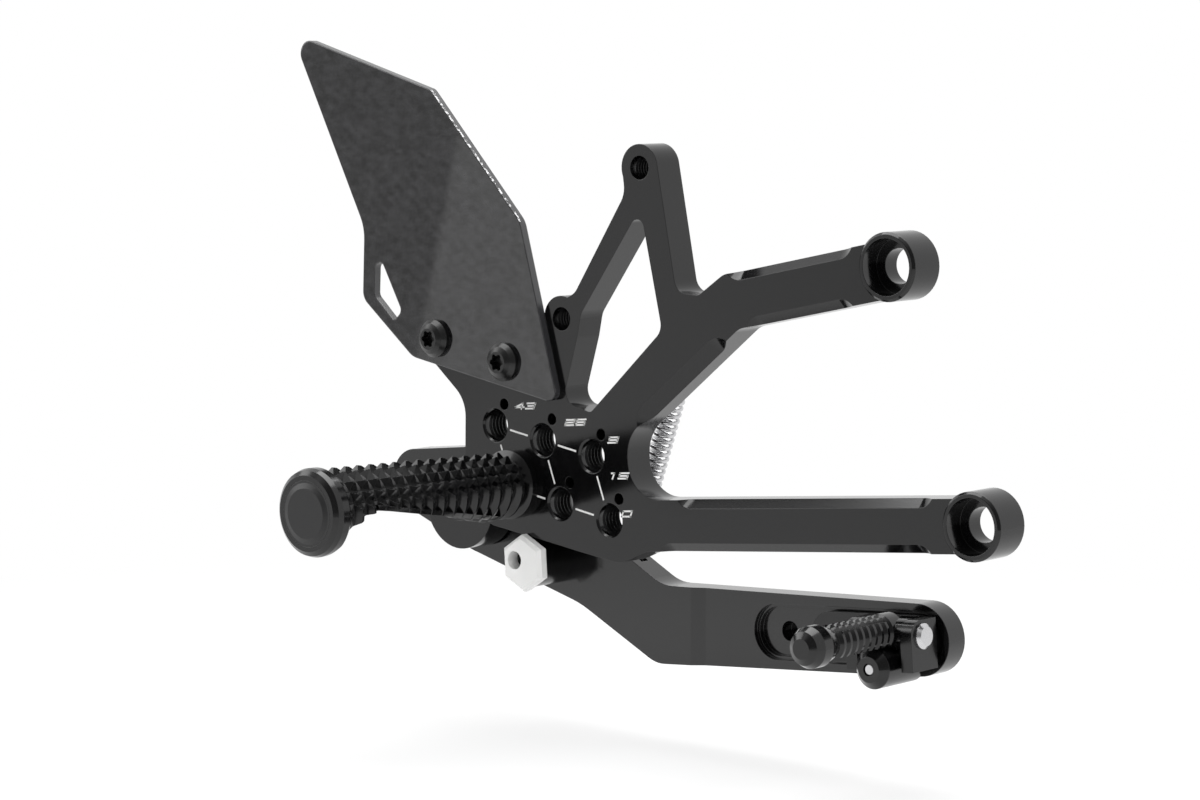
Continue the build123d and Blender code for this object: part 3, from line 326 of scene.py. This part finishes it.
def anodised_finish(name, colour, rough, grain, edge=0.22 * MM, gloss=0.5):
    """Black anodised aluminium with fine cutter marks, which run along the smallest scale in grain."""
    material, wire = new_finish(name)
    marks = wire.noise(grain, 3.0)
    cloud = wire.noise((55, 55, 55), 2.0)
    tone = cloud.blend(colour4(shaded(colour, 0.75)), colour4(shaded(colour, 1.35)))
    close_finish(wire, {
        "Base Color": tone,
        "Roughness": rough * 0.75 + marks * (rough * 0.35) + cloud * (rough * 0.15),
        "Specular IOR Level": gloss,
        "Normal": wire.bump(marks, 0.04, 0.03 * MM, wire.rounded(edge)),
    })
    return material


def carbon_finish(colours):
    """Fine twill under lacquer, with painted sheen on the tows and painted reflection blotches, a plain cut
    edge and chips along the front of its upper right edge.
    """
    material, wire = new_finish("carbon_twill")
    tow = 1.1 * MM
    weave_turn = math.radians(8)
    cells = wire.place((1 / tow,) * 3, (0, weave_turn, 0))
    split = wire.node("ShaderNodeSeparateXYZ", None, {"Vector": cells})
    across = Wire(wire.tree, split.socket.node.outputs["X"])
    along = Wire(wire.tree, split.socket.node.outputs["Z"])
    over = ((across.floor() + along.floor()) % 4.0) < 2.0
    warp = across.fraction() - 0.5
    weft = along.fraction() - 0.5
    # The crown of each tow, painted lighter as a highlight
    painted_crown_highlight = 1.0 - 4.0 * (over * warp * warp + (1.0 - over) * weft * weft)
    fibre = wire.noise((9000, 60, 300), 2.0)
    fibre_across = wire.noise((300, 60, 9000), 2.0)
    strands = over * fibre_across + (1.0 - over) * fibre
    # Painted reflection: darker surroundings mirrored in the lacquer, painted as blotches into the colour
    painted_reflection_mottle = wire.noise((340, 60, 560), 1.5) * 3.2 - 1.1
    # Painted sheen: tows across the light and tow crowns painted lighter, plus the fibres' own grain and the
    # painted reflection blotches
    painted_sheen_reflection_and_grain = over * 0.12 + painted_crown_highlight * 0.08 + strands * 0.1 + painted_reflection_mottle * 0.55
    weave = painted_sheen_reflection_and_grain.blend(colour4(colours.weave_painted_shade), colour4(colours.weave_painted_sheen))
    facing = wire.node("ShaderNodeNewGeometry", output="Normal")
    facing_y = wire.node("ShaderNodeSeparateXYZ", None, {"Vector": facing}, output="Y")
    edge = wire.math("ABSOLUTE", facing_y) < 0.5
    chipped_way = wire.node(
        "ShaderNodeVectorMath", {"operation": "DOT_PRODUCT"}, {0: facing, 1: CHIPPED_EDGE}, output="Value")
    place = wire.place()
    depth = wire.node("ShaderNodeSeparateXYZ", None, {"Vector": place}, output="Y")
    height = wire.node("ShaderNodeSeparateXYZ", None, {"Vector": place}, output="Z")
    speckle = (wire.noise((1300, 1300, 1300), 4.0) > 0.50) * (wire.noise((260, 260, 260), 1.0) > 0.44)
    arris = (depth < GUARD_FRONT + CHIP_DEPTH) * (height > CHIPPED_FROM) * (chipped_way > 0.97)
    chips = speckle * arris
    edge_tone = chips.blend(colour4(colours.fibre_ends), colour4(colours.chips))
    close_finish(wire, {
        "Base Color": edge.blend(weave, edge_tone),
        "Roughness": 0.012 + 0.01 * strands + 0.25 * edge,
        "Specular IOR Level": 0.78,
        "Normal": wire.bump(strands, 0.01, 0.01 * MM, wire.rounded(0.5 * MM)),
    })
    return material


def steel_finish(name, colour, rough, grain, metallic=1.0):
    """Ground or blackened steel with fine marks."""
    material, wire = new_finish(name)
    marks = wire.noise(grain, 3.0)
    cloud = wire.noise((90, 90, 90), 2.0)
    tone = cloud.blend(colour4(shaded(colour, 0.85)), colour4(shaded(colour, 1.1)))
    close_finish(wire, {
        "Base Color": tone,
        "Roughness": rough - 0.05 + 0.12 * marks + 0.05 * cloud,
        "Metallic": metallic,
        "Normal": wire.bump(marks, 0.12, 0.03 * MM, wire.rounded(0.12 * MM)),
    })
    return material


def plastic_finish(name, colour, rough, grain_size, edge=0.2 * MM):
    """Moulded plastic with a fine, even grain."""
    material, wire = new_finish(name)
    grain = wire.noise((1 / grain_size,) * 3, 3.0)
    cloud = wire.noise((120, 120, 120), 2.0)
    tone = cloud.blend(colour4(shaded(colour, 0.93)), colour4(shaded(colour, 1.05)))
    close_finish(wire, {
        "Base Color": tone,
        "Roughness": rough - 0.04 + 0.10 * grain,
        "Normal": wire.bump(grain, 0.15, 0.03 * MM, wire.rounded(edge)),
    })
    return material


def finish_node(name, material):
    """Give a solid its material."""
    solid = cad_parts[name]
    if solid.material_slots:
        for slot in solid.material_slots:
            slot.material = material
    else:
        solid.data.materials.append(material)


def clear_selection():
    """Deselect everything, in object mode."""
    if bpy.context.object and bpy.context.object.mode != "OBJECT":
        bpy.ops.object.mode_set(mode="OBJECT")
    bpy.ops.object.select_all(action="DESELECT")


def settle(piece, matrix=None):
    """Move a new piece into place and put that place into its mesh."""
    clear_selection()
    piece.select_set(True)
    bpy.context.view_layer.objects.active = piece
    if matrix is not None:
        piece.matrix_world = matrix @ piece.matrix_world
    bpy.ops.object.transform_apply(location=True, rotation=True, scale=True)
    return piece


def join(pieces, name):
    """Join pieces into one named object."""
    clear_selection()
    for piece in pieces:
        piece.select_set(True)
    bpy.context.view_layer.objects.active = pieces[0]
    if len(pieces) > 1:
        bpy.ops.object.join()
    pieces[0].name = name
    pieces[0].data.name = name
    return pieces[0]


def close_and_turn_out(piece):
    """Merge doubles, close open ends and turn all faces outwards."""
    clear_selection()
    piece.select_set(True)
    bpy.context.view_layer.objects.active = piece
    bpy.ops.object.mode_set(mode="EDIT")
    bpy.ops.mesh.select_all(action="SELECT")
    bpy.ops.mesh.remove_doubles(threshold=1e-7)
    bpy.ops.mesh.fill_holes(sides=0)
    bpy.ops.mesh.select_all(action="SELECT")
    bpy.ops.mesh.normals_make_consistent(inside=False)
    bpy.ops.object.mode_set(mode="OBJECT")
    bpy.ops.object.shade_smooth_by_angle(angle=math.radians(40))


def wind(section_sides, section_radius, radius, pitch, turns, steps, angle=math.tau):
    """Wind a small section into a helix about Z, from the XY plane upwards, by an angle for each turn."""
    clear_selection()
    bpy.ops.mesh.primitive_circle_add(
        vertices=section_sides, radius=section_radius, location=(radius, 0, 0),
        rotation=(math.pi / 2, 0, math.pi))
    piece = settle(bpy.context.object)
    turning = piece.modifiers.new("turns", "SCREW")
    turning.axis = "Z"
    turning.screw_offset = pitch
    turning.angle = angle
    turning.iterations = turns
    turning.steps = steps
    turning.render_steps = steps
    turning.use_merge_vertices = False
    bpy.ops.object.modifier_apply(modifier="turns")
    close_and_turn_out(piece)
    return piece


def axes_matrix(origin, across, up):
    """A matrix that takes Z to up and X to across, with its origin at a place."""
    up = up.normalized()
    across = (across - up * across.dot(up)).normalized()
    side = up.cross(across)
    turned = Matrix((across, side, up)).transposed().to_4x4()
    return Matrix.Translation(origin) @ turned


def straight_wire(radius, length, middle, across, way):
    """A straight length of wire about a middle point."""
    clear_selection()
    bpy.ops.mesh.primitive_cylinder_add(
        vertices=WIRE_SIDES, radius=radius, depth=length, end_fill_type="TRIFAN")
    return settle(bpy.context.object, axes_matrix(middle, across, way))


def join_wire(pieces, name, finish_name, colour):
    """Join the lengths of a spring, smooth it and give it a bright finish."""
    spring = join(pieces, name)
    clear_selection()
    spring.select_set(True)
    bpy.context.view_layer.objects.active = spring
    bpy.ops.object.shade_smooth_by_angle(angle=math.radians(50))
    spring.data.materials.clear()
    spring.data.materials.append(steel_finish(finish_name, colour, 0.22, (900, 900, 900)))
    return spring


def wear(piece, material, body):
    """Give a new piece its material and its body."""
    piece.data.materials.clear()
    piece.data.materials.append(material)
    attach(piece, body)


def hole_centres(sizes):
    """The six footpeg holes, row by row, on the plate's outer face."""
    along = Vector((math.cos(sizes.hole_tilt), 0, math.sin(sizes.hole_tilt))) * sizes.hole_pitch
    low = sizes.hole_tilt - math.radians(60)
    down = Vector((math.cos(low), 0, math.sin(low))) * sizes.hole_pitch
    return [FIRST_HOLE + along * column + down * row for row in range(2) for column in range(3)]


def draw_stroke(start, end, width, height):
    """One painted stroke on the plate's outer face."""
    clear_selection()
    bpy.ops.mesh.primitive_cube_add(size=1.0, scale=((end - start).length, width, height * 2))
    stroke = settle(bpy.context.object)
    bpy.ops.object.mode_set(mode="EDIT")
    bpy.ops.mesh.select_all(action="SELECT")
    bpy.ops.mesh.bevel(offset=height * 0.6, segments=1, affect="EDGES")
    bpy.ops.object.mode_set(mode="OBJECT")
    return settle(stroke, axes_matrix((start + end) / 2, end - start, OUT))


class FOOTREST_OT_machined(bpy.types.Operator):
    """Finish the bracket, the pedal and the toe carrier"""

    bl_idname = "footrest.machined"
    bl_label = "Machined parts"

    def execute(self, context):
        colour = context.scene.footrest_colours.anodised
        milled = (70, 700, 2600)
        finish_node("bracket_plate", anodised_finish("anodised_milled", colour, 0.13, milled))
        finish_node("brake_pedal", anodised_finish("anodised_pedal", colour, 0.14, milled, gloss=0.62))
        small = anodised_finish("anodised_small", colour, 0.20, (300, 900, 2600), 0.15 * MM)
        finish_node("toe_carrier", small)
        return {"FINISHED"}


class FOOTREST_OT_pegs(bpy.types.Operator):
    """Finish the footpeg, its end cap and the toe tip"""

    bl_idname = "footrest.pegs"
    bl_label = "Pegs"

    def execute(self, context):
        colour = context.scene.footrest_colours.anodised
        turned = anodised_finish("anodised_turned", colour, 0.17, (500, 3200, 500), 0.10 * MM)
        finish_node("footpeg", turned)
        finish_node("toe_tip", turned)
        cap = plastic_finish("cap_black", shaded(colour, 2.0), 0.36, 0.25 * MM)
        finish_node("footpeg_end_cap", cap)
        return {"FINISHED"}


class FOOTREST_OT_heel_guard(bpy.types.Operator):
    """Finish the heel guard in twill carbon"""

    bl_idname = "footrest.heel_guard"
    bl_label = "Heel guard"

    def execute(self, context):
        finish_node("heel_guard", carbon_finish(context.scene.footrest_colours))
        return {"FINISHED"}


class FOOTREST_OT_fasteners(bpy.types.Operator):
    """Finish the screws, pins and bearings"""

    bl_idname = "footrest.fasteners"
    bl_label = "Fasteners"

    def execute(self, context):
        colours = context.scene.footrest_colours
        even = (900, 900, 900)
        oxide = steel_finish("black_oxide", colours.oxide, 0.36, even, 0.0)
        zinc = steel_finish("black_zinc", colours.oxide, 0.27, even, 0.0)
        bright = steel_finish("bright_steel", colours.steel, 0.24, (700, 2600, 700))
        for name in ("pivot_bolt", "spring_post", "carrier_screw", "pedal_stop_screw"):
            finish_node(name, oxide)
        finish_node("heel_guard_screws", zinc)
        for name in (
            "footpeg_stud", "footpeg_dowel", "pivot_washer", "pivot_bearing_outer", "pivot_bearing_inner",
            "spring_pin", "toe_grub_screw", "toe_hinge_pin", "toe_hinge_clip",
        ):
            finish_node(name, bright)
        return {"FINISHED"}


class FOOTREST_OT_rest_stop(bpy.types.Operator):
    """Finish the white rest stop and its sleeve"""

    bl_idname = "footrest.rest_stop"
    bl_label = "Rest stop"

    def execute(self, context):
        colours = context.scene.footrest_colours
        white = plastic_finish("stop_white", colours.stop_white, 0.38, 0.4 * MM, 0.3 * MM)
        finish_node("pedal_stop", white)
        sleeve = anodised_finish("anodised_sleeve", colours.anodised, 0.24, (900, 900, 900))
        finish_node("pedal_stop_sleeve", sleeve)
        return {"FINISHED"}


class FOOTREST_OT_return_spring(bpy.types.Operator):
    """Wind the return spring, with a hook on the bracket's post and one on the pedal's pin"""

    bl_idname = "footrest.return_spring"
    bl_label = "Return spring"

    def execute(self, context):
        sizes = context.scene.footrest_sizes
        post_low, post_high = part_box("spring_post")
        pin_low, pin_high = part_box("spring_pin")
        plane_y = 5.0 * MM
        top = (post_low + post_high) / 2
        low = (pin_low + pin_high) / 2
        top.y = low.y = plane_y
        run = (top - low).normalized()
        across = run.cross(Vector((0, 1, 0))).normalized()
        wire = sizes.wire_radius
        hook = 2.8 * MM
        mouth = math.radians(60)
        top_centre = top - run * 0.45 * MM
        low_centre = low + run * 0.75 * MM
        low_leg = hook + 5.5 * MM
        top_leg = hook + 1.5 * MM
        start = low_centre + run * low_leg
        length = (top_centre - low_centre).length - low_leg - top_leg
        turns = max(2, round(length / sizes.coil_pitch))
        winding = sizes.coil_radius - wire
        coil = wind(WIRE_SIDES, wire, winding, length / turns, turns, sizes.coil_steps)
        settle(coil, axes_matrix(start, across, run))
        pieces = [coil]
        for centre, way, leg in ((low_centre, 1, low_leg), (top_centre, -1, top_leg)):
            loop = wind(WIRE_SIDES, wire, hook, 0.0, 1, 30, math.tau - mouth)
            first = across * math.cos(mouth) + run * way * math.sin(mouth)
            pieces.append(settle(loop, axes_matrix(centre, first, Vector((0, 1, 0)) * way)))
            middle = centre + across * (hook + winding) / 2 + run * way * leg / 2
            pieces.append(straight_wire(wire, leg, middle, across, run))
        steel = context.scene.footrest_colours.steel
        spring = join_wire(pieces, "return_spring_wire", "spring_wire", steel)
        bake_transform(spring)
        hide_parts("return_spring")
        return {"FINISHED"}


class FOOTREST_OT_hinge_spring(bpy.types.Operator):
    """Wind the toe hinge's spring, with one leg to the toe tip and one to its carrier"""

    bl_idname = "footrest.hinge_spring"
    bl_label = "Hinge spring"

    def execute(self, context):
        low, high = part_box("toe_hinge_spring")
        pin_low, pin_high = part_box("toe_hinge_pin")
        wire = 0.43 * MM
        winding = 2.733 * MM
        tip_leg = 4.5 * MM
        carrier_leg = 5.2 * MM
        turns = 2
        pitch = wire * 2.02
        centre = (low + high) / 2
        centre.y = (pin_low.y + pin_high.y) / 2
        up = HINGE_AXIS.cross(OUT).normalized()
        start = centre - HINGE_AXIS * pitch * turns / 2
        end = centre + HINGE_AXIS * pitch * turns / 2
        coil = wind(WIRE_SIDES, wire, winding, pitch, turns, 36)
        settle(coil, axes_matrix(start, up, HINGE_AXIS))
        pieces = [coil]
        for root, way, leg in ((start, OUT, tip_leg), (end, -OUT, carrier_leg)):
            middle = root + up * winding + way * leg / 2
            pieces.append(straight_wire(wire, leg, middle, HINGE_AXIS, way))
        steel = context.scene.footrest_colours.steel
        spring = join_wire(pieces, "toe_hinge_spring_wire", "hinge_spring_wire", steel)
        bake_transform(spring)
        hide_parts("toe_hinge_spring")
        return {"FINISHED"}


class FOOTREST_OT_hole_threads(bpy.types.Operator):
    """Cut threads in the free footpeg holes and the master cylinder holes"""

    bl_idname = "footrest.hole_threads"
    bl_label = "Hole threads"

    def execute(self, context):
        sizes = context.scene.footrest_sizes
        colour = context.scene.footrest_colours.anodised
        finish = anodised_finish("anodised_thread", shaded(colour, 2.0), 0.30, (900, 900, 900), 0.05 * MM)
        depth = -PLATE_FRONT
        centres = hole_centres(sizes)
        free = [centre for index, centre in enumerate(centres) if index != PEG_HOLE]
        for name, places, radius, pitch in (
            ("footpeg_hole_threads", free, sizes.hole_radius, sizes.hole_thread),
            ("cylinder_hole_threads", LUG_HOLES, sizes.lug_radius, sizes.lug_thread),
        ):
            pieces = []
            turns = int((depth - 0.8 * MM) / pitch) - 1
            for place in places:
                ridge = wind(3, pitch * 0.52, radius + pitch * 0.14, pitch, turns, 26)
                base = place - OUT * (depth - 0.6 * MM)
                pieces.append(settle(ridge, axes_matrix(base, Vector((1, 0, 0)), OUT)))
            wear(join(pieces, name), finish, "bracket")
        return {"FINISHED"}


class FOOTREST_OT_hole_marks(bpy.types.Operator):
    """Draw the lines between the footpeg holes and the numbers beside them"""

    bl_idname = "footrest.hole_marks"
    bl_label = "Hole marks"

    def execute(self, context):
        sizes = context.scene.footrest_sizes
        white = context.scene.footrest_colours.mark_white
        paint = plastic_finish("mark_paint", white, 0.5, 0.15 * MM, 0.02 * MM)
        centres = hole_centres(sizes)
        ring = sizes.hole_radius + 1.3 * MM
        lines = []
        for first, second in ((0, 1), (1, 2), (0, 3), (1, 4), (2, 5), (3, 4), (4, 5)):
            run = (centres[second] - centres[first]).normalized() * ring
            lines.append(draw_stroke(
                centres[first] + run, centres[second] - run, sizes.mark_width, sizes.mark_height))
        wear(join(lines, "hole_lines"), paint, "bracket")
        digits = []
        slope = math.radians(5.5)
        across = Vector((math.cos(slope), 0, math.sin(slope)))
        up = OUT.cross(across)
        lean = 0.55
        step = sizes.digit_width * 1.28
        for text, x, z in NUMBERS:
            centre = Vector((x * MM, PLATE_FRONT, z * MM))
            for index, digit in enumerate(text):
                shift = (index - (len(text) - 1) / 2) * step
                for ends in DIGIT_STROKES[digit]:
                    places = []
                    for along, high in ends:
                        rise = (high - 0.5) * sizes.digit_height
                        run = shift + (along - 0.5) * sizes.digit_width + lean * rise
                        places.append(centre + across * run + up * rise)
                    tail = (places[1] - places[0]).normalized() * sizes.digit_stroke / 2
                    digits.append(draw_stroke(
                        places[0] - tail, places[1] + tail, sizes.digit_stroke, sizes.mark_height))
        wear(join(digits, "hole_numbers"), paint, "bracket")
        return {"FINISHED"}


class FOOTREST_OT_stage(bpy.types.Operator):
    """Set up the floor, the soft lights, the pale surroundings and the camera"""

    bl_idname = "footrest.stage"
    bl_label = "Stage"

    def soft_light(self, name, place, aim, size, power):
        """One large, soft area light."""
        clear_selection()
        bpy.ops.object.light_add(type="AREA", location=place)
        light = bpy.context.object
        light.name = name
        light.data.shape = "RECTANGLE"
        light.data.size, light.data.size_y = size
        light.data.energy = power
        light.rotation_euler = (Vector(aim) - Vector(place)).to_track_quat("-Z", "Y").to_euler()
        return light

    def seen_rays(self, wire):
        """1 for the rays that should see a plain white surround, and 0 for those that light the object."""
        path = wire.node("ShaderNodeLightPath")
        outputs = path.socket.node.outputs
        camera = Wire(wire.tree, outputs["Is Camera Ray"])
        glossy = Wire(wire.tree, outputs["Is Glossy Ray"])
        through = Wire(wire.tree, outputs["Is Transmission Ray"])
        return wire.math("MINIMUM", camera + glossy + through, 1.0)

    def execute(self, context):
        colours = context.scene.footrest_colours
        low, high = cad_box
        middle = (Vector(low) + Vector(high)) / 2
        clear_selection()
        bpy.ops.mesh.primitive_circle_add(
            vertices=96, radius=FLOOR_RADIUS, fill_type="NGON",
            location=(middle.x, middle.y, FLOOR_Z - 0.2 * MM))
        floor = settle(bpy.context.object)
        floor.name = "floor"
        material, wire = new_finish("floor_pale")
        speck = wire.noise((30, 30, 30), 2.0)
        tone = speck.blend(colour4(shaded(colours.floor, 0.99)), colour4(shaded(colours.floor, 1.01)))
        matt = wire.node("ShaderNodeBsdfDiffuse", None, {"Color": tone})
        glow = wire.node("ShaderNodeEmission", None, {"Color": (1, 1, 1, 1), "Strength": 1.0})
        spot = wire.node("ShaderNodeTexCoord", output="Object")
        away = wire.node("ShaderNodeVectorMath", {"operation": "DISTANCE"}, {
            0: spot, 1: (middle.x, middle.y, FLOOR_Z)}, output="Value")
        clear = wire.node("ShaderNodeMapRange", {"interpolation_type": "SMOOTHSTEP"}, {
            "Value": away, "From Min": 0.10, "From Max": 0.34, "To Min": 0.62, "To Max": 1.0})
        pale = wire.node("ShaderNodeMixShader", None, {0: self.seen_rays(wire) * clear, 1: matt, 2: glow})
        wire.node("ShaderNodeOutputMaterial", None, {"Surface": pale})
        floor.data.materials.append(material)

        world = context.scene.world or bpy.data.worlds.new("studio")
        context.scene.world = world
        world.use_nodes = True
        world.node_tree.nodes.clear()
        air = Wire(world.node_tree)
        seen = self.seen_rays(air)
        way = air.node("ShaderNodeTexCoord", output="Generated")
        parts = air.node("ShaderNodeSeparateXYZ", None, {"Vector": way}).socket.node.outputs
        way_x, way_y, way_z = (Wire(air.tree, parts[name]) for name in "XYZ")
        lean = way_x - way_y * (0.957 - 0.37 * way_z)
        shade = air.node("ShaderNodeMapRange", {"interpolation_type": "SMOOTHSTEP"}, {
            "Value": lean, "From Min": -0.0008, "From Max": 0.0008, "To Min": 0.43, "To Max": 0.0})
        camera_sees = Wire(air.tree, air.node("ShaderNodeLightPath").socket.node.outputs["Is Camera Ray"])
        dark_way = (0.35, -0.93, 0.10)
        front = air.node(
            "ShaderNodeVectorMath", {"operation": "DOT_PRODUCT"}, {0: way, 1: dark_way}, output="Value")
        dim = air.node("ShaderNodeMapRange", {"interpolation_type": "SMOOTHSTEP"}, {
            "Value": front, "From Min": 0.44, "From Max": 0.80, "To Min": 0.0, "To Max": 0.80})
        flag = air.math("MAXIMUM", shade * (way_y < 0.0), dim) * (1.0 - camera_sees)
        plain = air.node("ShaderNodeBackground", None, {
            "Color": (1, 1, 1, 1), "Strength": seen * (0.45 - flag) + 0.55})
        air.node("ShaderNodeOutputWorld", None, {"Surface": plain})

        lights = [self.soft_light(name, place, middle, size, power) for name, place, size, power in SOFTBOXES]
        lights[-1].visible_glossy = False

        clear_selection()
        bpy.ops.object.camera_add(location=EYE)
        camera = bpy.context.object
        camera.name = "photo_view"
        camera.rotation_euler = (AIM - EYE).to_track_quat("-Z", "Y").to_euler()
        camera.data.sensor_width = SENSOR
        camera.data.lens = LENS
        camera.data.clip_start = 0.01
        context.scene.camera = camera
        context.scene.view_settings.view_transform = "Standard"
        return {"FINISHED"}


STEPS = (
    FOOTREST_OT_machined,
    FOOTREST_OT_pegs,
    FOOTREST_OT_heel_guard,
    FOOTREST_OT_fasteners,
    FOOTREST_OT_rest_stop,
    FOOTREST_OT_return_spring,
    FOOTREST_OT_hinge_spring,
    FOOTREST_OT_hole_threads,
    FOOTREST_OT_hole_marks,
    FOOTREST_OT_stage,
)


class FOOTREST_PT_panel(bpy.types.Panel):
    """Lists the steps and the values that they use"""

    bl_idname = "FOOTREST_PT_panel"
    bl_label = "Footrest"
    bl_space_type = "VIEW_3D"
    bl_region_type = "UI"
    bl_category = "Footrest"

    def draw(self, context):
        for step in STEPS:
            self.layout.operator(step.bl_idname)
        for group in (context.scene.footrest_sizes, context.scene.footrest_colours):
            box = self.layout.box()
            for name in group.__annotations__:
                box.prop(group, name)


CLASSES = (FootrestSizes, FootrestColours, *STEPS, FOOTREST_PT_panel)


def register():
    """Register the classes and the scene's values."""
    for cls in CLASSES:
        bpy.utils.register_class(cls)
    bpy.types.Scene.footrest_sizes = PointerProperty(type=FootrestSizes)
    bpy.types.Scene.footrest_colours = PointerProperty(type=FootrestColours)


def unregister():
    """Take the classes and the scene's values away again."""
    del bpy.types.Scene.footrest_colours
    del bpy.types.Scene.footrest_sizes
    for cls in reversed(CLASSES):
        bpy.utils.unregister_class(cls)


def main():
    """Register the steps, dress the footrest and set the stage."""
    register()
    for step in STEPS:
        group, name = step.bl_idname.split(".")
        getattr(getattr(bpy.ops, group), name)()


if __name__ == "__main__":
    main()
